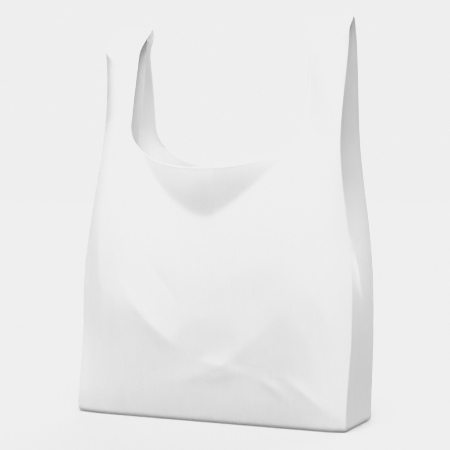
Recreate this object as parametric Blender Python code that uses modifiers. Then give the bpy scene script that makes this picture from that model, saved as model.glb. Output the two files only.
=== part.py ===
"""A vest shopping bag of thin plastic film, standing open on its flat bottom.

The real bag is one tube of film. Its sides are tucked in as gussets, it is welded straight across at both
ends, and one U-shaped cut through all its layers leaves a mouth and two handles. Here it is opened out: the
bottom lies flat, the front and back panels bulge and sag, and each gusset opens from a deep tuck under the
handle weld to a flat side at the bottom. The bag is one piece, so it is one object.

Metres, +Z up. The front faces -Y. The origin is on the ground, under the middle of the bag's outer box.
"""

import bmesh
import bpy
import numpy as np

# The flat bag, as it is cut and welded
BAG_WIDTH = 0.300
GUSSET_TUCK = 0.042
HANDLE_WIDTH = 0.044
STANDING_HEIGHT = 0.408
FILM = 0.0005

# The U-shaped cut, measured down from the handle welds
CUT_DEPTH = 0.1505
CUT_BACK_HIGHER = 0.0045
CUT_ROUND_HEIGHT = 0.050
CUT_POWER = 2.2
CUT_CENTRE = 0.004
JUNCTION_ABOVE_MOUTH = 0.0245

# How the sides stand
DRAW_IN = 0.0153
DRAW_FROM = 0.120
DRAW_TO = 0.300
HANDLE_FLARE = 0.0045
LEAN_RIGHT = 0.0045
LEAN_FULL_FROM = 0.100
LEAN_BACK = 0.010
CLOSING_POWER = 3.6
WELD_PUFF = 0.007
PUFF_REACH = 0.030
GUSSET_FLAT_BELOW = 0.090
GUSSET_TUCKED_ABOVE = 0.230
TUCK_SHARE_LEFT = 0.97
TUCK_SHARE_RIGHT = 0.72
GUSSET_WELD_DROP = 0.009

# How the panels hang. A share of the width or of a strap has SHARE in its name.
FRONT_BULGE = 0.009
BULGE_ENDS_SHARE = 0.45
BULGE_FULL_SHARE = 0.20
BULGE_POWER = 1.8
EDGE_ROUNDING = 0.008
EDGE_ROUNDING_REACH = 0.030
EDGE_SQUARE_ABOVE = 0.280
BACK_BULGE = 0.006
STRAP_CURL = 0.006
CURL_SHARE_BACK_RIGHT = 0.3
STRAP_NARROWED_BY_CURL = 0.0073
STRAP_NARROWED_BY_WELD = 0.006
WELD_TAPER = 0.030
LIP_SLOPE = 0.29
LIP_DEPTH = 0.049
LIP_HALF_SPAN = 0.085
LIP_CENTRE = 0.008
LIP_ROUNDING = 0.004
LIP_POWER_LEFT = 1.95
LIP_POWER_RIGHT = 1.25
SLACK_FROM_SHARE = 0.3
MOUTH_GAP = 0.009
BACK_SAG_FROM = 0.070
BACK_SAG_FULL_SHARE = 0.35
BACK_SAG_POWER = 1.2

# Soft creases across the lower front, each from its start to its end, in widths and mouth heights
CREASE_HEIGHT = 0.0018
CREASE_WIDTH = 0.011
CREASE_FADE = 0.15
RISING_CREASE = ((-0.150, 0.155), (0.300, 0.380))
HOLLOW_UNDER_IT = ((-0.033, 0.186), (0.267, 0.117))
LEFT_CREASE = ((-0.333, 0.524), (-0.167, 0.252))
CORNER_HOLLOW = ((0.167, 0.233), (0.367, 0.047))

# Folds and finish
FOLD_ANGLE = np.radians(24.0)
FOLD_SOFTNESS = 0.35
FILM_WHITE = 0.88
FILM_ROUGHNESS = 0.32

# The mesh, as counts of cage faces
STRAP_COLUMNS = 3
MID_COLUMNS = 12
GUSSET_COLUMNS = 4
BODY_ROWS = 11
HANDLE_ROWS = 8
EVEN_ROW_SHARE = 0.35
SMOOTHING_LEVELS = 1
SEWING_REACH = 0.00005

FRONT = -1
BACK = 1
LEFT = -1
RIGHT = 1

MOUTH_HEIGHT = STANDING_HEIGHT - CUT_DEPTH
MOUTH_HEIGHT_BACK = MOUTH_HEIGHT + CUT_BACK_HIGHER
CUT_HALF_SPAN = BAG_WIDTH / 2 - DRAW_IN - HANDLE_WIDTH + STRAP_NARROWED_BY_CURL
JUNCTION_HEIGHT = MOUTH_HEIGHT + JUNCTION_ABOVE_MOUTH
CUT_STRAIGHT_FROM = MOUTH_HEIGHT + CUT_ROUND_HEIGHT
BOTTOM_HEIGHT = FILM / 2


def ease(value, start, end):
    """Rises smoothly from 0 at start to 1 at end."""
    share = np.clip((value - start) / (end - start), 0.0, 1.0)
    return share * share * (3.0 - 2.0 * share)


def hump(value, start, end):
    """Rises smoothly from 0 at start to 1 half way, and falls back to 0 at end."""
    share = np.clip((value - start) / (end - start), 0.0, 1.0)
    return np.sin(np.pi * share) ** 2


def half_depth(z):
    """Half of the distance between the front and back fold lines, which meet at the handle weld."""
    below_weld = STANDING_HEIGHT - z
    closing = GUSSET_TUCK * (1.0 - (z / STANDING_HEIGHT) ** CLOSING_POWER)
    puff = WELD_PUFF * np.sqrt(np.clip(below_weld / PUFF_REACH, 0.0, 1.0)) * np.exp(-below_weld / PUFF_REACH)
    return closing + puff


def middle_x(z):
    """The bag leans a little to one side above its bottom."""
    return LEAN_RIGHT * ease(z, 0.0, LEAN_FULL_FROM)


def middle_y(z):
    """The handles lean back."""
    return LEAN_BACK * ease(z, MOUTH_HEIGHT / 2, STANDING_HEIGHT)


def fold_x(side, z):
    """The fold between a panel and the gusset of one side, drawn in at the shoulder."""
    drawn = DRAW_IN * ease(z, DRAW_FROM, DRAW_TO)
    flare = HANDLE_FLARE * ease(z, DRAW_TO, STANDING_HEIGHT)
    return middle_x(z) + side * (BAG_WIDTH / 2 - drawn + flare)


def mouth_height(panel):
    return MOUTH_HEIGHT if panel == FRONT else MOUTH_HEIGHT_BACK


def cut_x(side, panel, z):
    """The edge of the U-shaped cut: a rounded bottom, then a nearly straight strap edge."""
    below = np.clip((CUT_STRAIGHT_FROM - z) / (CUT_STRAIGHT_FROM - mouth_height(panel)), 0.0, 1.0)
    rounded = CUT_HALF_SPAN * (1.0 - below**CUT_POWER) ** (1.0 / CUT_POWER)
    taper = STRAP_NARROWED_BY_WELD * ease(z, STANDING_HEIGHT - WELD_TAPER, STANDING_HEIGHT)
    return CUT_CENTRE + side * (rounded - taper)


def cut_z(panel, x):
    """The height of the mouth edge at a place across the bag."""
    across = np.clip(np.abs(x - CUT_CENTRE) / CUT_HALF_SPAN, 0.0, 1.0)
    rounded = (1.0 - across**CUT_POWER) ** (1.0 / CUT_POWER)
    return CUT_STRAIGHT_FROM - (CUT_STRAIGHT_FROM - mouth_height(panel)) * rounded


def junction_x(side, panel, z):
    """The line down the panel from the corner of the mouth, where strap columns meet middle columns."""
    top = cut_x(side, panel, JUNCTION_HEIGHT)
    bottom = side * (BAG_WIDTH / 2 - HANDLE_WIDTH)
    return bottom + (top - bottom) * np.clip(z / JUNCTION_HEIGHT, 0.0, 1.0)


def strap_share(x, z, panel):
    """0 at the nearer side fold, 1 at the inner edge of the strap or beyond it."""
    side = np.where(x > middle_x(z), RIGHT, LEFT)
    inner = np.where(z > JUNCTION_HEIGHT, cut_x(side, panel, z), junction_x(side, panel, z))
    fold = fold_x(side, z)
    return np.clip((fold - x) / (fold - inner), 0.0, 1.0)


def lip(x, z):
    """Slack film under the front mouth edge leans out above a rounded V-shaped crease."""
    across = np.abs(x - LIP_CENTRE) / LIP_HALF_SPAN
    power = np.where(x < LIP_CENTRE, LIP_POWER_LEFT, LIP_POWER_RIGHT)
    crease = MOUTH_HEIGHT - LIP_DEPTH + (LIP_DEPTH + CUT_ROUND_HEIGHT / 3) * across**power
    above = z - crease
    return LIP_SLOPE * (above + np.sqrt(above**2 + LIP_ROUNDING**2)) / 2


def ridge(x, z, line):
    """A soft crease along a line from its start to its end, highest half way along it."""
    start, end = np.array(line) * (BAG_WIDTH, MOUTH_HEIGHT)
    along = end - start
    length = np.linalg.norm(along)
    share = ((x - start[0]) * along[0] + (z - start[1]) * along[1]) / length**2
    off = ((z - start[1]) * along[0] - (x - start[0]) * along[1]) / length
    return np.exp(-((off / CREASE_WIDTH) ** 2)) * hump(share, -CREASE_FADE, 1.0 + CREASE_FADE)


def front_creases(x, z):
    """Long soft creases across the lower front, where the filled-out film went slack again."""
    raised = ridge(x, z, RISING_CREASE) + ridge(x, z, LEFT_CREASE)
    hollow = ridge(x, z, HOLLOW_UNDER_IT) + ridge(x, z, CORNER_HOLLOW)
    return CREASE_HEIGHT * (raised - hollow)


def strap_curl(share, z):
    """A strap bows out between its two edges, less and less towards the weld."""
    return STRAP_CURL * 4.0 * share * (1.0 - share) * ease(STANDING_HEIGHT - z, 0.0, 2 * WELD_TAPER)


def edge_rounding(x, z):
    """Filled out, the lower front turns back towards each side fold in a wide round edge."""
    from_fold = np.minimum(x - fold_x(LEFT, z), fold_x(RIGHT, z) - x)
    near = np.clip(1.0 - from_fold / EDGE_ROUNDING_REACH, 0.0, 1.0)
    return EDGE_ROUNDING * near**2 * hump(z, BOTTOM_HEIGHT, EDGE_SQUARE_ABOVE)


def front_y(x, z):
    """The front panel and front straps."""
    share = strap_share(x, z, FRONT)
    curl = strap_curl(share, z) * ease(z, MOUTH_HEIGHT - HANDLE_WIDTH, CUT_STRAIGHT_FROM)
    across = np.abs(x - middle_x(z)) / BAG_WIDTH
    up = np.clip(z / CUT_STRAIGHT_FROM, 0.0, 1.0)
    bulge = FRONT_BULGE * ease(across, BULGE_ENDS_SHARE, BULGE_FULL_SHARE) * np.sin(np.pi * up**BULGE_POWER)
    hanging = ease(share, SLACK_FROM_SHARE, 1.0) * ease(z, CUT_STRAIGHT_FROM, MOUTH_HEIGHT)
    forward = curl + bulge + hanging * lip(x, z) + front_creases(x, z) - edge_rounding(x, z)
    return middle_y(z) - half_depth(z) - forward


def back_y(x, z):
    """The back panel and back straps. The slack mouth edge sags forward, almost against the front one."""
    share = strap_share(x, z, BACK)
    plain = middle_y(z) + half_depth(z)
    across = np.abs(x - middle_x(z)) / (BAG_WIDTH / 2)
    bulge = BACK_BULGE * np.cos(np.pi / 2 * np.clip(across, 0.0, 1.0)) * hump(z, 0.0, MOUTH_HEIGHT_BACK)
    curl = strap_curl(share, z) * ease(z, MOUTH_HEIGHT, CUT_STRAIGHT_FROM)
    curl = curl * np.where(x < 0.0, 1.0, CURL_SHARE_BACK_RIGHT)
    opening = np.maximum(plain - front_y(x, z) - MOUTH_GAP, 0.0)
    forward = ease(x, -CUT_HALF_SPAN, CUT_HALF_SPAN * BACK_SAG_FULL_SHARE)
    forward = forward * ease(z, BACK_SAG_FROM, MOUTH_HEIGHT)
    return plain + bulge + curl - opening * forward * share**BACK_SAG_POWER


def panel_y(panel, x, z):
    return front_y(x, z) if panel == FRONT else back_y(x, z)


def gusset_tuck(side, z):
    """How far the middle fold of a gusset stands in from the side folds."""
    tucked = TUCK_SHARE_LEFT if side == LEFT else TUCK_SHARE_RIGHT
    folded = np.sqrt(np.clip(GUSSET_TUCK**2 - half_depth(z) ** 2, 0.0, None))
    slack = (1.0 - tucked) * ease(z, GUSSET_FLAT_BELOW, CUT_STRAIGHT_FROM)
    return (1.0 - slack) * folded * ease(z, GUSSET_FLAT_BELOW, GUSSET_TUCKED_ABOVE)


def panel_grid(panel):
    """The panel under the mouth and between its two corner lines, bottom edge to mouth edge."""
    row = np.linspace(0.0, 1.0, BODY_ROWS + 1)[:, None]
    column = np.linspace(0.0, 1.0, MID_COLUMNS + 1)[None, :]
    top_left = cut_x(LEFT, panel, JUNCTION_HEIGHT)
    top_right = cut_x(RIGHT, panel, JUNCTION_HEIGHT)
    top_x = top_left + (top_right - top_left) * column
    bottom_x = (BAG_WIDTH / 2 - HANDLE_WIDTH) * (2.0 * column - 1.0)
    z = BOTTOM_HEIGHT + row * (cut_z(panel, top_x) - BOTTOM_HEIGHT)
    x = bottom_x + (top_x - bottom_x) * row
    return np.stack([x, panel_y(panel, x, z), z], axis=-1)


def strap_grid(panel, side):
    """One side of a panel from the bottom edge up to the handle weld, side fold to inner edge."""
    heights = strap_heights()[:, None]
    column = np.linspace(0.0, 1.0, STRAP_COLUMNS + 1)[None, :]
    inner = np.where(
        heights > JUNCTION_HEIGHT, cut_x(side, panel, heights), junction_x(side, panel, heights)
    )
    fold = fold_x(side, heights)
    x = fold + (inner - fold) * column
    z = heights + 0.0 * x
    return np.stack([x, panel_y(panel, x, z), z], axis=-1)


def strap_heights():
    """Row heights beside the mouth: even up to its corner, then closer together at both ends of the strap."""
    body = np.linspace(BOTTOM_HEIGHT, JUNCTION_HEIGHT, BODY_ROWS + 1)
    share = np.linspace(0.0, 1.0, HANDLE_ROWS + 1)[1:]
    bunched = (1.0 - np.cos(np.pi * share)) / 2
    spread = EVEN_ROW_SHARE * share + (1.0 - EVEN_ROW_SHARE) * bunched
    handle = JUNCTION_HEIGHT + (STANDING_HEIGHT - JUNCTION_HEIGHT) * spread
    return np.concatenate([body, handle])


def gusset_grid(side):
    """A gusset from the bottom edge to the weld, front fold to back fold with its middle fold between."""
    heights = strap_heights()[:, None]
    column = np.linspace(-1.0, 1.0, GUSSET_COLUMNS + 1)[None, :]
    inward = 1.0 - np.abs(column)
    fold = fold_x(side, heights)
    middle_fold = fold - side * gusset_tuck(side, heights)
    middle = (front_y(fold, heights) + back_y(fold, heights)) / 2
    between_straps = (front_y(middle_fold, heights) + back_y(middle_fold, heights)) / 2
    skew = (between_straps - middle) * ease(heights, GUSSET_TUCKED_ABOVE, CUT_STRAIGHT_FROM)
    x = fold + (middle_fold - fold) * inward
    y = middle + (back_y(fold, heights) - middle) * column + skew * inward
    drop = GUSSET_WELD_DROP * inward * ease(heights, STANDING_HEIGHT - 2 * WELD_TAPER, STANDING_HEIGHT)
    return np.stack([x, y, heights - drop], axis=-1)


def bottom_grid():
    """The flat bottom, from the front bottom edge straight across to the back one."""
    front_edge = np.concatenate(
        [
            strap_grid(FRONT, LEFT)[0, :-1],
            panel_grid(FRONT)[0],
            strap_grid(FRONT, RIGHT)[0, -2::-1],
        ]
    )
    column = np.linspace(-1.0, 1.0, GUSSET_COLUMNS + 1)[:, None]
    x = front_edge[None, :, 0] + 0.0 * column
    y = -front_edge[None, :, 1] * column
    return np.stack([x, y, np.full(x.shape, BOTTOM_HEIGHT)], axis=-1)


def add_grid(mesh, points, outwards):
    """Adds a grid of points as quads, turned so that their normals point along outwards."""
    rows, columns = points.shape[:2]
    corners = [[mesh.verts.new(points[r, c]) for c in range(columns)] for r in range(rows)]
    faces = []
    for r in range(rows - 1):
        for c in range(columns - 1):
            loop = [corners[r][c], corners[r][c + 1], corners[r + 1][c + 1], corners[r + 1][c]]
            faces.append(mesh.faces.new(loop))
    mesh.normal_update()
    facing = sum((face.normal.dot(outwards) for face in faces))
    if facing < 0.0:
        bmesh.ops.reverse_faces(mesh, faces=faces)


def film_cage():
    """All panels of the film, sewn into one open sheet along the edges that they share."""
    cage = bmesh.new()
    for panel in (FRONT, BACK):
        add_grid(cage, panel_grid(panel), (0.0, panel, 0.0))
        for side in (LEFT, RIGHT):
            add_grid(cage, strap_grid(panel, side), (0.0, panel, 0.0))
    for side in (LEFT, RIGHT):
        add_grid(cage, gusset_grid(side), (side, 0.0, 0.0))
    add_grid(cage, bottom_grid(), (0.0, 0.0, -1.0))
    bmesh.ops.remove_doubles(cage, verts=cage.verts, dist=SEWING_REACH)
    centre_over_origin(cage)
    return cage


def centre_over_origin(cage):
    """Moves the bag so that the middle of its outer box stands over the origin."""
    points = np.array([vertex.co for vertex in cage.verts])
    middle = (points.min(axis=0) + points.max(axis=0)) / 2
    bmesh.ops.translate(cage, verts=cage.verts, vec=(-middle[0], -middle[1], 0.0))


def sharpen_folds(cage):
    """Edges where panels meet at an angle stay folds: sharp at both ends of the bag, softer between."""
    sharpness = cage.edges.layers.float.new("crease_edge")
    for edge in cage.edges:
        if len(edge.link_faces) == 2 and edge.calc_face_angle() > FOLD_ANGLE:
            height = (edge.verts[0].co.z + edge.verts[1].co.z) / 2
            edge[sharpness] = 1.0 - FOLD_SOFTNESS * float(hump(height, BOTTOM_HEIGHT, MOUTH_HEIGHT))


def film_material():
    """Glossy, slightly see-through white film."""
    material = bpy.data.materials.new("white_film")
    material.use_nodes = True
    shader = material.node_tree.nodes["Principled BSDF"]
    shader.inputs["Base Color"].default_value = (FILM_WHITE, FILM_WHITE, FILM_WHITE, 1.0)
    shader.inputs["Metallic"].default_value = 0.0
    shader.inputs["Roughness"].default_value = FILM_ROUGHNESS
    return material


def make_bag(collection):
    cage = film_cage()
    sharpen_folds(cage)
    mesh = bpy.data.meshes.new("bag")
    cage.to_mesh(mesh)
    cage.free()
    mesh.materials.append(film_material())
    mesh.shade_smooth()
    bag = bpy.data.objects.new("bag", mesh)
    collection.objects.link(bag)
    smoothing = bag.modifiers.new("smoothing", "SUBSURF")
    smoothing.levels = SMOOTHING_LEVELS
    smoothing.render_levels = SMOOTHING_LEVELS
    wall = bag.modifiers.new("wall", "SOLIDIFY")
    wall.thickness = FILM
    wall.offset = 0.0
    wall.use_rim = True
    return bag


def main():
    for old in list(bpy.data.objects):
        bpy.data.objects.remove(old, do_unlink=True)
    collection = bpy.data.collections.new("shopping_bag")
    bpy.context.scene.collection.children.link(collection)
    make_bag(collection)


main()
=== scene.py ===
import math

import bmesh
import bpy
import numpy as np
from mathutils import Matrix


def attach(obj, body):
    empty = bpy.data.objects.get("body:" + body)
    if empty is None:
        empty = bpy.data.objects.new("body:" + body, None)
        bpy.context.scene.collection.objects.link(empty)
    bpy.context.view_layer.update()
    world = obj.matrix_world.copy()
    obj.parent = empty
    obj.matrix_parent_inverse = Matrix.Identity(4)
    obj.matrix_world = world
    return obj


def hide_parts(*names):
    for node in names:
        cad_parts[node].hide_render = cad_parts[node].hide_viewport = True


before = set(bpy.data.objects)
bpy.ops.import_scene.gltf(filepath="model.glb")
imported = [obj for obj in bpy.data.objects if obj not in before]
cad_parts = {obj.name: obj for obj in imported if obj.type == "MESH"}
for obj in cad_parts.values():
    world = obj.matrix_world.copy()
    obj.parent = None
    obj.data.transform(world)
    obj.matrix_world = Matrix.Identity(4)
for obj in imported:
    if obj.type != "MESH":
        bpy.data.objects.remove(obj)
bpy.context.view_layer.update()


# The camera stands to the right of the bag's front, a little above the middle of its height and
# some three bag heights away, so the right gusset shows as a narrow strip. Greys are shown as they
# are up to a soft shoulder, where the photograph's whites level out.
CAMERA_AT = (0.54288, -1.16619, 0.2269)
CAMERA_DOWN = math.radians(1.245)
CAMERA_TURN = math.radians(24.80)
LENS = 99.3
SENSOR = 36.0
SHOULDER = ((0.60, 0.60), (0.78, 0.77), (0.90, 0.84))
BRIGHTEST = 0.862

camera_data = bpy.data.cameras.new("camera")
camera_data.lens = LENS
camera_data.sensor_width = SENSOR
camera_data.clip_end = 100.0
camera = bpy.data.objects.new("camera", camera_data)
camera.location = CAMERA_AT
camera.rotation_euler = (math.pi / 2 - CAMERA_DOWN, 0.0, CAMERA_TURN)
scene = bpy.context.scene
scene.collection.objects.link(camera)
scene.camera = camera
scene.view_settings.view_transform = "Standard"
scene.view_settings.look = "None"
scene.view_settings.use_curve_mapping = True
greys = scene.view_settings.curve_mapping
grey_curve = greys.curves[3]
grey_curve.points[1].location = (1.0, BRIGHTEST)
for brightness, shown in SHOULDER:
    grey_curve.points.new(brightness, shown)
greys.extend = "HORIZONTAL"
greys.update()


# The bag stands on a wide pale floor that runs out of sight. The room is a soft dome, a little
# brighter overhead and dim on both sides. One large soft light stands high in front, and a lower one
# behind shines through the film. The camera sees the room as one even grey, and the floor sends no
# light back up, because the dome's lower half already does.
BACKGROUND_GREY = 0.96
DOME_ABOVE = 0.84
DOME_BELOW = 0.80
DOME_LEFT = 0.30
DOME_RIGHT = 0.45
SIDE_START = 0.1
SIDE_FULL = 0.95
LOW_FULL = -0.6
HIGH_FULL = 0.8
KEY_HEIGHT = math.radians(62.0)
KEY_TURN = math.radians(16.0)
KEY_STRENGTH = 3.9
KEY_SPREAD = math.radians(50.0)
BACK_HEIGHT = math.radians(28.0)
BACK_TURN = math.radians(185.0)
BACK_STRENGTH = 2.6
BACK_SPREAD = math.radians(60.0)
FLOOR_REACH = 60.0
FLOOR_Z = -0.0002
FLOOR_WHITE = 0.49

world = bpy.data.worlds.new("room")
scene.world = world
world.use_nodes = True
room = world.node_tree
direction = room.nodes.new("ShaderNodeTexCoord")
split = room.nodes.new("ShaderNodeSeparateXYZ")
room.links.new(direction.outputs["Generated"], split.inputs["Vector"])


def along(axis, start, end, low, high):
    """A value that rises smoothly from low to high as the direction's axis goes from start to end."""
    node = room.nodes.new("ShaderNodeMapRange")
    node.interpolation_type = "SMOOTHSTEP"
    node.inputs["From Min"].default_value = start
    node.inputs["From Max"].default_value = end
    node.inputs["To Min"].default_value = low
    node.inputs["To Max"].default_value = high
    room.links.new(split.outputs[axis], node.inputs["Value"])
    return node.outputs["Result"]


def times(one, other):
    """One value times the other."""
    node = room.nodes.new("ShaderNodeMath")
    node.operation = "MULTIPLY"
    room.links.new(one, node.inputs[0])
    room.links.new(other, node.inputs[1])
    return node.outputs["Value"]


to_left = along("X", -SIDE_FULL, -SIDE_START, DOME_LEFT, 1.0)
to_right = along("X", SIDE_START, SIDE_FULL, 1.0, DOME_RIGHT)
upwards = along("Z", LOW_FULL, HIGH_FULL, DOME_BELOW, DOME_ABOVE)
dome_strength = times(upwards, times(to_left, to_right))
room_light = room.nodes["Background"]
room_light.inputs["Color"].default_value = (1.0, 1.0, 1.0, 1.0)
room.links.new(dome_strength, room_light.inputs["Strength"])
room_seen = room.nodes.new("ShaderNodeBackground")
room_seen.inputs["Color"].default_value = (1.0, 1.0, 1.0, 1.0)
room_seen.inputs["Strength"].default_value = BACKGROUND_GREY
straight = room.nodes.new("ShaderNodeLightPath")
either = room.nodes.new("ShaderNodeMixShader")
room.links.new(straight.outputs["Is Camera Ray"], either.inputs["Fac"])
room.links.new(room_light.outputs["Background"], either.inputs[1])
room.links.new(room_seen.outputs["Background"], either.inputs[2])
room.links.new(either.outputs["Shader"], room.nodes["World Output"].inputs["Surface"])


def soft_light(name, strength, spread, height, turn):
    """A far, wide light at an angle above the floor, turned from the front round to the right."""
    data = bpy.data.lights.new(name, "SUN")
    data.energy = strength
    data.angle = spread
    light = bpy.data.objects.new(name, data)
    light.rotation_euler = (math.pi / 2 - height, 0.0, turn)
    scene.collection.objects.link(light)


soft_light("key", KEY_STRENGTH, KEY_SPREAD, KEY_HEIGHT, KEY_TURN)
soft_light("back", BACK_STRENGTH, BACK_SPREAD, BACK_HEIGHT, BACK_TURN)

floor_mesh = bpy.data.meshes.new("floor")
floor_corners = [
    (-FLOOR_REACH, -FLOOR_REACH, FLOOR_Z),
    (FLOOR_REACH, -FLOOR_REACH, FLOOR_Z),
    (FLOOR_REACH, FLOOR_REACH, FLOOR_Z),
    (-FLOOR_REACH, FLOOR_REACH, FLOOR_Z),
]
floor_mesh.from_pydata(floor_corners, [], [(0, 1, 2, 3)])
floor = bpy.data.objects.new("floor", floor_mesh)
floor.visible_diffuse = False
scene.collection.objects.link(floor)
floor_paper = bpy.data.materials.new("floor_paper")
floor_paper.use_nodes = True
floor_shader = floor_paper.node_tree.nodes["Principled BSDF"]
floor_shader.inputs["Base Color"].default_value = (FLOOR_WHITE, FLOOR_WHITE, FLOOR_WHITE, 1.0)
floor_shader.inputs["Roughness"].default_value = 1.0
floor_shader.inputs["Specular IOR Level"].default_value = 0.0
floor_mesh.materials.append(floor_paper)


# The bag is one tube of thin white film with tucked sides, welded straight across at both ends, and
# one U-shaped cut through all its layers leaves the mouth and two handles. Opened out it stands on
# its bottom, bulges in front and sags at the mouth, and keeps the creases it was folded along.
BAG_WIDTH = 0.300
GUSSET_TUCK = 0.042
HANDLE_WIDTH = 0.044
BAG_HEIGHT = 0.408
FILM = 0.0005
STANDS_AT = np.array([-0.00225, 0.00264, 0.0])
FRONT = -1
BACK = 1
LEFT = -1
RIGHT = 1

MOUTH_Z = 0.2575
MOUTH_Z_BACK = 0.2620
CUT_HALF_SPAN = 0.098
CUT_ROUND = 0.050
CUT_POWER = 2.2
CUT_CENTRE = 0.004
CORNER_Z = MOUTH_Z + 0.0245
STRAIGHT_Z = MOUTH_Z + CUT_ROUND

WELD_TAPER = 0.030
BOTTOM_RADIUS = 0.004


def ease(value, start, end):
    """Rises smoothly from 0 at start to 1 at end."""
    share = np.clip((value - start) / (end - start), 0.0, 1.0)
    return share * share * (3.0 - 2.0 * share)


def hump(value, start, end):
    """Rises smoothly from 0 at start to 1 half way, and falls back to 0 at end."""
    share = np.clip((value - start) / (end - start), 0.0, 1.0)
    return np.sin(np.pi * share) ** 2


def half_depth(z):
    """Half the gusset's depth, less a share that grows steeply towards the weld, plus a puff under it."""
    steepness = 3.6
    puff_depth = 0.007
    puff_reach = 0.030
    below_weld = BAG_HEIGHT - z
    closing = GUSSET_TUCK * (1.0 - (z / BAG_HEIGHT) ** steepness)
    opening = np.sqrt(np.clip(below_weld / puff_reach, 0.0, 1.0))
    return closing + puff_depth * opening * np.exp(-below_weld / puff_reach)


def middle_x(z):
    """The bag leans 4.5 mm to the right over its lowest 100 mm."""
    lean = 0.0045
    upright_above = 0.100
    return lean * ease(z, 0.0, upright_above)


def middle_y(z):
    """The handles lean back by 10 mm."""
    lean = 0.010
    return lean * ease(z, MOUTH_Z / 2, BAG_HEIGHT)


def turned_under(z):
    """The film turns under the bag in a quarter circle, so its lowest part stands in by this much."""
    below = 1.0 - np.clip((z - FILM / 2) / BOTTOM_RADIUS, 0.0, 1.0)
    return BOTTOM_RADIUS * (1.0 - np.sqrt(1.0 - below * below))


def fold_x(side, z):
    """The side fold: half the width out from the middle, drawn in at the shoulder, flared at the top."""
    widest_z = 0.120
    shoulder_z = 0.300
    drawn = 0.0153 * ease(z, widest_z, shoulder_z)
    flare = 0.0025 * ease(z, shoulder_z, BAG_HEIGHT)
    return middle_x(z) + side * (BAG_WIDTH / 2 - drawn + flare - turned_under(z))


def mouth_z(panel):
    """The mouth's lowest point, which lies a little higher on the back."""
    return MOUTH_Z if panel == FRONT else MOUTH_Z_BACK


def cut_x(side, panel, z):
    """The cut's edge from its height: a quarter of a superellipse, then a nearly straight strap edge.

    Under the weld the opening closes in, more on the left than on the right.
    """
    left_closing = 0.009
    right_closing = 0.006
    below = np.clip((STRAIGHT_Z - z) / (STRAIGHT_Z - mouth_z(panel)), 0.0, 1.0)
    rounded = CUT_HALF_SPAN * (1.0 - below**CUT_POWER) ** (1.0 / CUT_POWER)
    closing = np.where(side == LEFT, left_closing, right_closing)
    taper = closing * ease(z, BAG_HEIGHT - WELD_TAPER, BAG_HEIGHT)
    return CUT_CENTRE + side * (rounded - taper)


def cut_z(panel, x):
    """The mouth edge's height from the place across: the same superellipse, read the other way."""
    across = np.clip(np.abs(x - CUT_CENTRE) / CUT_HALF_SPAN, 0.0, 1.0)
    rounded = (1.0 - across**CUT_POWER) ** (1.0 / CUT_POWER)
    return STRAIGHT_Z - (STRAIGHT_Z - mouth_z(panel)) * rounded


def seam_x(side, panel, z):
    """The line down the panel from the mouth's corner, where strap columns meet panel columns."""
    top = cut_x(side, panel, CORNER_Z)
    bottom = side * (BAG_WIDTH / 2 - HANDLE_WIDTH)
    return bottom + (top - bottom) * np.clip((z - FILM / 2) / (CORNER_Z - FILM / 2), 0.0, 1.0)


def strap_share(x, z, panel):
    """0 at the nearer side fold, 1 at the strap's inner edge and beyond it."""
    side = np.where(x > middle_x(z), RIGHT, LEFT)
    inner = np.where(z > CORNER_Z, cut_x(side, panel, z), seam_x(side, panel, z))
    fold = fold_x(side, z)
    return np.clip((fold - x) / (fold - inner), 0.0, 1.0)


def from_cut(x, z, panel):
    """The shortest distance to the cut's edge, over points taken all along it."""
    strap_points = 40
    bend_points = 120
    strap_z = np.linspace(STRAIGHT_Z, BAG_HEIGHT, strap_points)
    bend = CUT_CENTRE + CUT_HALF_SPAN * np.cos(np.pi * np.linspace(0.0, 1.0, bend_points))
    edge_x = np.concatenate([cut_x(LEFT, panel, strap_z), bend, cut_x(RIGHT, panel, strap_z)])
    edge_z = np.concatenate([strap_z, cut_z(panel, bend), strap_z])
    nearest = np.full(x.shape, 1.0)
    for one_x, one_z in zip(edge_x, edge_z):
        nearest = np.minimum(nearest, np.hypot(x - one_x, z - one_z))
    return nearest


def lip(x, z):
    """Slack film under the mouth leans out above a V-shaped crease: slope times the height over it."""
    slope = 0.45
    rounding = 0.004
    point_x = 0.008
    point_drop = 0.049
    half_width = 0.085
    left_power = 1.95
    right_power = 1.25
    across = np.abs(x - point_x) / half_width
    rise = across ** np.where(x < point_x, left_power, right_power)
    crease_z = MOUTH_Z - point_drop + (point_drop + CUT_ROUND / 3) * rise
    above = z - crease_z
    return slope * 0.5 * (above + np.sqrt(above * above + rounding * rounding))


def crease(x, z, start, end, bow, above, below):
    """A soft ridge along an arc from start to end: it dies away at its own rate on each side.

    bow is how far the arc's middle stands over the straight line, and the ridge fades at its ends.
    The height is exp(-distance / width), with the distance's kink at the ridge rounded off.
    """
    ridge_rounding = 0.0015
    overrun = 0.15
    along_x = end[0] - start[0]
    along_z = end[1] - start[1]
    length = math.hypot(along_x, along_z)
    share = ((x - start[0]) * along_x + (z - start[1]) * along_z) / length**2
    off = ((z - start[1]) * along_x - (x - start[0]) * along_z) / length
    off = off - 4.0 * bow * np.clip(share * (1.0 - share), -0.25, None)
    width = np.where(off > 0.0, above, below)
    distance = np.sqrt(off * off + ridge_rounding**2) - ridge_rounding
    return np.exp(-distance / width) * hump(share, -overrun, 1.0 + overrun)


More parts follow.
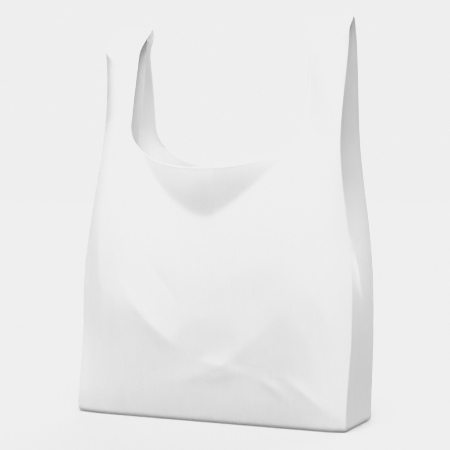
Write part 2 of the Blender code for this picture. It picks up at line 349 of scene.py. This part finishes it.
# Each crease has its start, end, bow, width above the line, width below it, and height. The first
# eleven cross the front, the next two are the bands over the handles, and the last is a short pull
# at the foot of the right handle.
FRONT_CREASES = (
    ((-0.096, 0.148), (-0.018, 0.070), -0.006, 0.014, 0.024, 0.0026),
    ((-0.094, 0.146), (-0.110, 0.080), 0.002, 0.014, 0.008, 0.0010),
    ((-0.068, 0.176), (-0.020, 0.118), -0.002, 0.006, 0.007, -0.0007),
    ((-0.060, 0.036), (0.074, 0.100), -0.014, 0.014, 0.012, 0.0012),
    ((0.050, 0.095), (0.077, 0.152), 0.002, 0.016, 0.008, -0.0008),
    ((0.098, 0.168), (0.146, 0.096), -0.003, 0.010, 0.022, 0.0012),
    ((-0.008, 0.062), (0.056, 0.050), 0.003, 0.004, 0.005, 0.0005),
    ((-0.004, 0.040), (0.046, 0.054), 0.002, 0.004, 0.006, 0.0006),
    ((0.058, 0.052), (0.096, 0.026), 0.002, 0.004, 0.005, 0.0007),
    ((0.088, 0.052), (0.134, 0.018), 0.001, 0.004, 0.006, 0.0008),
    ((0.010, 0.132), (0.078, 0.166), 0.004, 0.010, 0.012, 0.0006),
    ((-0.180, 0.420), (-0.102, 0.362), 0.0, 0.005, 0.014, 0.0075),
    ((0.098, 0.358), (0.180, 0.418), 0.004, 0.005, 0.014, 0.0060),
    ((0.098, 0.316), (0.122, 0.280), 0.0, 0.003, 0.004, -0.0012),
)


def front_creases(x, z):
    """Long soft creases across the front, added up, each with its own height; none at the bottom."""
    flat_foot = 0.012
    total = np.zeros(x.shape)
    for start, end, bow, above, below, height in FRONT_CREASES:
        total = total + height * crease(x, z, start, end, bow, above, below)
    return total * ease(z, 0.0, flat_foot)


def weld_line(z):
    """The weld presses a shallow groove across each handle's top: a bell over the height."""
    depth = 0.0014
    width = 0.0014
    below_top = 0.004
    return depth * np.exp(-(((z - BAG_HEIGHT + below_top) / width) ** 2))


def rim_curl(x, z, panel):
    """The cut edge turns out over its last 3 mm: the square of the nearness to the cut."""
    height = 0.0012
    reach = 0.003
    return height * np.clip(1.0 - from_cut(x, z, panel) / reach, 0.0, 1.0) ** 2


def right_step(x, z):
    """Beside the right edge the film steps back over a soft upright bend: a smooth rise across it."""
    depth = 0.0035
    bend_top = (0.112, 0.290)
    bend_foot = (0.138, 0.090)
    bend = bend_top[0] + (bend_foot[0] - bend_top[0]) * ease(z, bend_top[1], bend_foot[1])
    across = ease(x, bend - 0.006, bend + 0.009)
    return depth * across * hump(z, 0.040, 0.330)


def edge_rounding(x, z):
    """Turns the lower front back towards each side fold: the nearness to the fold to the power 1.5."""
    depth = 0.008
    foot_share = 0.6
    fading = 0.100
    narrow_reach = 0.018
    wide_reach = 0.032
    right_reach = 0.016
    left_top = 0.400
    right_top = 0.280
    on_left = x < middle_x(z)
    from_fold = np.where(on_left, x - fold_x(LEFT, z), fold_x(RIGHT, z) - x)
    left_reach = narrow_reach + (wide_reach - narrow_reach) * ease(z, 0.220, 0.100)
    near = np.clip(1.0 - from_fold / np.where(on_left, left_reach, right_reach), 0.0, 1.0)
    top = np.where(on_left, left_top, right_top)
    growing = foot_share + (1.0 - foot_share) * ease(z, 0.0, fading)
    return depth * near**1.5 * growing * ease(top - z, 0.0, fading)


def strap_curl(share, z):
    """A strap's middle stands out from its edges: a parabola over its width, none at the weld."""
    height = 0.006
    return height * 4.0 * share * (1.0 - share) * ease(BAG_HEIGHT - z, 0.0, 2 * WELD_TAPER)


def front_y(x, z):
    """The front panel and straps: the fold line, less curl, bulge, lip and creases."""
    belly = 0.010
    plateau_ends = BAG_WIDTH * 0.49
    plateau_full = BAG_WIDTH * 0.28
    foot_in = 0.0015
    foot_height = 0.030
    share = strap_share(x, z, FRONT)
    curl = strap_curl(share, z) * ease(z, CORNER_Z, STRAIGHT_Z + CUT_ROUND)
    plateau = ease(np.abs(x - middle_x(z)), plateau_ends, plateau_full)
    bulge = belly * plateau * np.sin(np.pi * np.clip(z / STRAIGHT_Z, 0.0, 1.0))
    hanging = ease(share, 0.3, 1.0) * ease(z, STRAIGHT_Z, MOUTH_Z)
    forward = curl + bulge + hanging * lip(x, z) + front_creases(x, z)
    forward = forward - edge_rounding(x, z) - right_step(x, z) + rim_curl(x, z, FRONT)
    drawn_in = foot_in * np.clip(1.0 - z / foot_height, 0.0, 1.0) ** 2
    return middle_y(z) - half_depth(z) - forward + drawn_in + turned_under(z) + weld_line(z)


def back_y(x, z):
    """The back panel and straps: the fold line plus bulge and curl, drawn forward at the mouth."""
    belly = 0.006
    waist = 0.006
    waist_top = 0.220
    right_curl = 0.3
    mouth_gap = 0.009
    sag_foot = 0.070
    share = strap_share(x, z, BACK)
    plain = middle_y(z) + half_depth(z) - waist * hump(z, 0.0, waist_top)
    across = np.abs(x - middle_x(z)) / (BAG_WIDTH / 2)
    bulge = belly * np.cos(np.pi / 2 * np.clip(across, 0.0, 1.0)) * hump(z, 0.0, MOUTH_Z_BACK)
    curl = strap_curl(share, z) * ease(z, MOUTH_Z, STRAIGHT_Z) * np.where(x < 0.0, 1.0, right_curl)
    opening = np.maximum(plain - front_y(x, z) - mouth_gap, 0.0)
    forward = ease(x, -CUT_HALF_SPAN, CUT_HALF_SPAN * 0.35) * ease(z, sag_foot, MOUTH_Z)
    return plain + bulge + curl - opening * forward * share**1.2 - turned_under(z)


def panel_y(panel, x, z):
    return front_y(x, z) if panel == FRONT else back_y(x, z)


UNTUCKED_Z = 0.090
TUCKED_Z = 0.230


def gusset_tuck(side, z):
    """How far a gusset's middle fold stands in: the leg of a right triangle on half the depth."""
    share = 0.97 if side == LEFT else 0.72
    folded = np.sqrt(np.clip(GUSSET_TUCK**2 - half_depth(z) ** 2, 0.0, None))
    slack = 1.0 + (share - 1.0) * ease(z, UNTUCKED_Z, STRAIGHT_Z)
    return slack * folded * ease(z, UNTUCKED_Z, TUCKED_Z)


EDGE_BAND = 0.006
RADIUS_ROWS = 6
BODY_ROWS = 96
HANDLE_ROWS = 48
EVEN_ROWS = 0.35
PANEL_COLUMNS = 84
STRAP_COLUMNS = 17
EDGE_CELLS = 5
GUSSET_COLUMNS = 28


def edge_spaced(cells, band):
    """Shares from 0 to 1: even cells, then EDGE_CELLS finer ones over the last band."""
    even = np.linspace(0.0, 1.0 - band, cells + 1)
    fine = np.linspace(1.0 - band, 1.0, EDGE_CELLS + 1)[1:]
    return np.concatenate([even, fine])


# Rows follow the bottom's radius, run evenly up the body, and lie closer at both ends of the handles.
radius_turn = np.linspace(0.0, np.pi / 2, RADIUS_ROWS + 1)
bottom_share = BOTTOM_RADIUS / CORNER_Z * (1.0 - np.cos(radius_turn))
upper_share = edge_spaced(BODY_ROWS, EDGE_BAND / MOUTH_Z)
upper_share = bottom_share[-1] + (1.0 - bottom_share[-1]) * upper_share
body_share = np.concatenate([bottom_share[:-1], upper_share])
even_share = np.linspace(0.0, 1.0, HANDLE_ROWS + 1)[1:]
close_share = 0.5 - 0.5 * np.cos(np.pi * even_share)
handle_share = EVEN_ROWS * even_share + (1.0 - EVEN_ROWS) * close_share
film_heights = np.concatenate(
    [
        FILM / 2 + (CORNER_Z - FILM / 2) * body_share,
        CORNER_Z + (BAG_HEIGHT - CORNER_Z) * handle_share,
    ]
)


def panel_block(panel):
    """Under the mouth: straight columns from the bottom edge to the cut, rows in even shares."""
    row = body_share[:, None]
    column = np.linspace(0.0, 1.0, PANEL_COLUMNS + 1)[None, :]
    top_left = cut_x(LEFT, panel, CORNER_Z)
    top_right = cut_x(RIGHT, panel, CORNER_Z)
    top_x = top_left + (top_right - top_left) * column
    bottom_x = (BAG_WIDTH / 2 - HANDLE_WIDTH) * (2.0 * column - 1.0)
    z = FILM / 2 + row * (cut_z(panel, top_x) - FILM / 2)
    x = bottom_x + (top_x - bottom_x) * row
    return np.stack([x, panel_y(panel, x, z), z], axis=-1)


def strap_block(panel, side):
    """One side of a panel, bottom to weld: from the side fold across to the cut or the panel block."""
    z = film_heights[:, None]
    column = edge_spaced(STRAP_COLUMNS, EDGE_BAND / HANDLE_WIDTH)[None, :]
    inner = np.where(z > CORNER_Z, cut_x(side, panel, z), seam_x(side, panel, z))
    x = fold_x(side, z) + (inner - fold_x(side, z)) * column
    z = z + 0.0 * x
    return np.stack([x, panel_y(panel, x, z), z], axis=-1)


def gusset_block(side):
    """A gusset, bottom to weld: straight from each side fold to its middle fold, which stands in."""
    drawn_down = 0.009
    z = film_heights[:, None]
    column = np.linspace(-1.0, 1.0, GUSSET_COLUMNS + 1)[None, :]
    inward = 1.0 - np.abs(column)
    fold = fold_x(side, z)
    tuck = gusset_tuck(side, z)
    front_fold = front_y(fold, z)
    back_fold = back_y(fold, z)
    middle = 0.5 * (front_fold + back_fold)
    between_straps = 0.5 * (front_y(fold - side * tuck, z) + back_y(fold - side * tuck, z))
    skew = (between_straps - middle) * ease(z, TUCKED_Z, STRAIGHT_Z)
    x = fold - side * tuck * inward
    y = middle + 0.5 * (back_fold - front_fold) * column + skew * inward
    drop = drawn_down * inward * ease(z, BAG_HEIGHT - 2 * WELD_TAPER, BAG_HEIGHT)
    return np.stack([x, y, z - drop], axis=-1)


def bottom_block():
    """The flat bottom: from the front bottom edge straight across to the back one."""
    edges = []
    for panel in (FRONT, BACK):
        left = strap_block(panel, LEFT)[0]
        right = strap_block(panel, RIGHT)[0]
        edges.append(np.concatenate([left[:-1], panel_block(panel)[0], right[-2::-1]])[None])
    share = np.linspace(0.0, 1.0, GUSSET_COLUMNS + 1)[:, None, None]
    return edges[0] + (edges[1] - edges[0]) * share


def block_faces(points, first, turned):
    """Quads between neighbouring rows and columns, wound the other way when turned."""
    rows, columns = points.shape[:2]
    index = first + np.arange(rows * columns).reshape(rows, columns)
    quads = np.stack([index[:-1, :-1], index[:-1, 1:], index[1:, 1:], index[1:, :-1]], axis=-1)
    quads = quads.reshape(-1, 4)
    return quads[:, ::-1] if turned else quads


def film_mesh(blocks):
    """One mesh from (points, turned) blocks, sewn where their edges share points."""
    sewn_within = 0.00002
    sharp_fold = math.radians(38.0)
    points = np.concatenate([block.reshape(-1, 3) for block, turned in blocks]) + STANDS_AT
    firsts = np.cumsum([0] + [block.shape[0] * block.shape[1] for block, turned in blocks])
    faces = np.concatenate(
        [block_faces(block, first, turned) for (block, turned), first in zip(blocks, firsts)]
    )
    mesh = bpy.data.meshes.new("bag_film")
    mesh.from_pydata(points, [], faces.tolist())
    sewn = bmesh.new()
    sewn.from_mesh(mesh)
    bmesh.ops.remove_doubles(sewn, verts=sewn.verts, dist=sewn_within)
    sewn.to_mesh(mesh)
    sewn.free()
    mesh.shade_smooth()
    mesh.set_sharp_from_angle(angle=sharp_fold)
    return mesh


def film_material():
    """Glossy white film: fine crinkle and faint upright draw lines, both as bump, on object places."""
    shine_through = 0.45
    shine_depth = 0.004
    line_stretch = 0.12
    lines_per_metre = 260.0
    crinkles_per_metre = 45.0
    line_share = 0.25
    bump_strength = 0.25
    bump_height = 0.0015
    smoothest = 0.28
    roughest = 0.42
    thin_white = (0.90, 0.90, 0.90, 1.0)
    thick_white = (0.94, 0.94, 0.94, 1.0)

    material = bpy.data.materials.new("white_film")
    material.use_nodes = True
    tree = material.node_tree
    shader = tree.nodes["Principled BSDF"]
    shader.inputs["Subsurface Weight"].default_value = shine_through
    shader.inputs["Subsurface Radius"].default_value = (shine_depth, shine_depth, shine_depth)
    shader.inputs["Subsurface Scale"].default_value = 1.0
    places = tree.nodes.new("ShaderNodeTexCoord")

    upright = tree.nodes.new("ShaderNodeMapping")
    upright.inputs["Scale"].default_value = (1.0, 1.0, line_stretch)
    tree.links.new(places.outputs["Object"], upright.inputs["Vector"])
    draw_lines = tree.nodes.new("ShaderNodeTexNoise")
    draw_lines.inputs["Scale"].default_value = lines_per_metre
    draw_lines.inputs["Detail"].default_value = 3.0
    tree.links.new(upright.outputs["Vector"], draw_lines.inputs["Vector"])

    crinkle = tree.nodes.new("ShaderNodeTexNoise")
    crinkle.inputs["Scale"].default_value = crinkles_per_metre
    crinkle.inputs["Detail"].default_value = 4.0
    crinkle.inputs["Distortion"].default_value = 0.8
    tree.links.new(places.outputs["Object"], crinkle.inputs["Vector"])

    both = tree.nodes.new("ShaderNodeMath")
    both.operation = "MULTIPLY_ADD"
    both.inputs[1].default_value = line_share
    tree.links.new(draw_lines.outputs["Fac"], both.inputs[0])
    tree.links.new(crinkle.outputs["Fac"], both.inputs[2])
    bump = tree.nodes.new("ShaderNodeBump")
    bump.inputs["Strength"].default_value = bump_strength
    bump.inputs["Distance"].default_value = bump_height
    tree.links.new(both.outputs["Value"], bump.inputs["Height"])
    tree.links.new(bump.outputs["Normal"], shader.inputs["Normal"])

    gloss = tree.nodes.new("ShaderNodeMapRange")
    gloss.inputs["To Min"].default_value = smoothest
    gloss.inputs["To Max"].default_value = roughest
    tree.links.new(crinkle.outputs["Fac"], gloss.inputs["Value"])
    tree.links.new(gloss.outputs["Result"], shader.inputs["Roughness"])

    whites = tree.nodes.new("ShaderNodeMix")
    whites.data_type = "RGBA"
    whites.inputs["A"].default_value = thin_white
    whites.inputs["B"].default_value = thick_white
    tree.links.new(draw_lines.outputs["Fac"], whites.inputs["Factor"])
    tree.links.new(whites.outputs["Result"], shader.inputs["Base Color"])
    return material


film_blocks = [
    (panel_block(FRONT), False),
    (strap_block(FRONT, LEFT), False),
    (strap_block(FRONT, RIGHT), True),
    (panel_block(BACK), True),
    (strap_block(BACK, LEFT), True),
    (strap_block(BACK, RIGHT), False),
    (gusset_block(LEFT), True),
    (gusset_block(RIGHT), False),
    (bottom_block(), True),
]
film = bpy.data.objects.new("bag_film", film_mesh(film_blocks))
scene.collection.objects.link(film)
film.data.materials.append(film_material())
film_wall = film.modifiers.new("wall", "SOLIDIFY")
film_wall.thickness = FILM
film_wall.offset = 0.0
film_wall.use_rim = True
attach(film, "root")
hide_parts("bag")
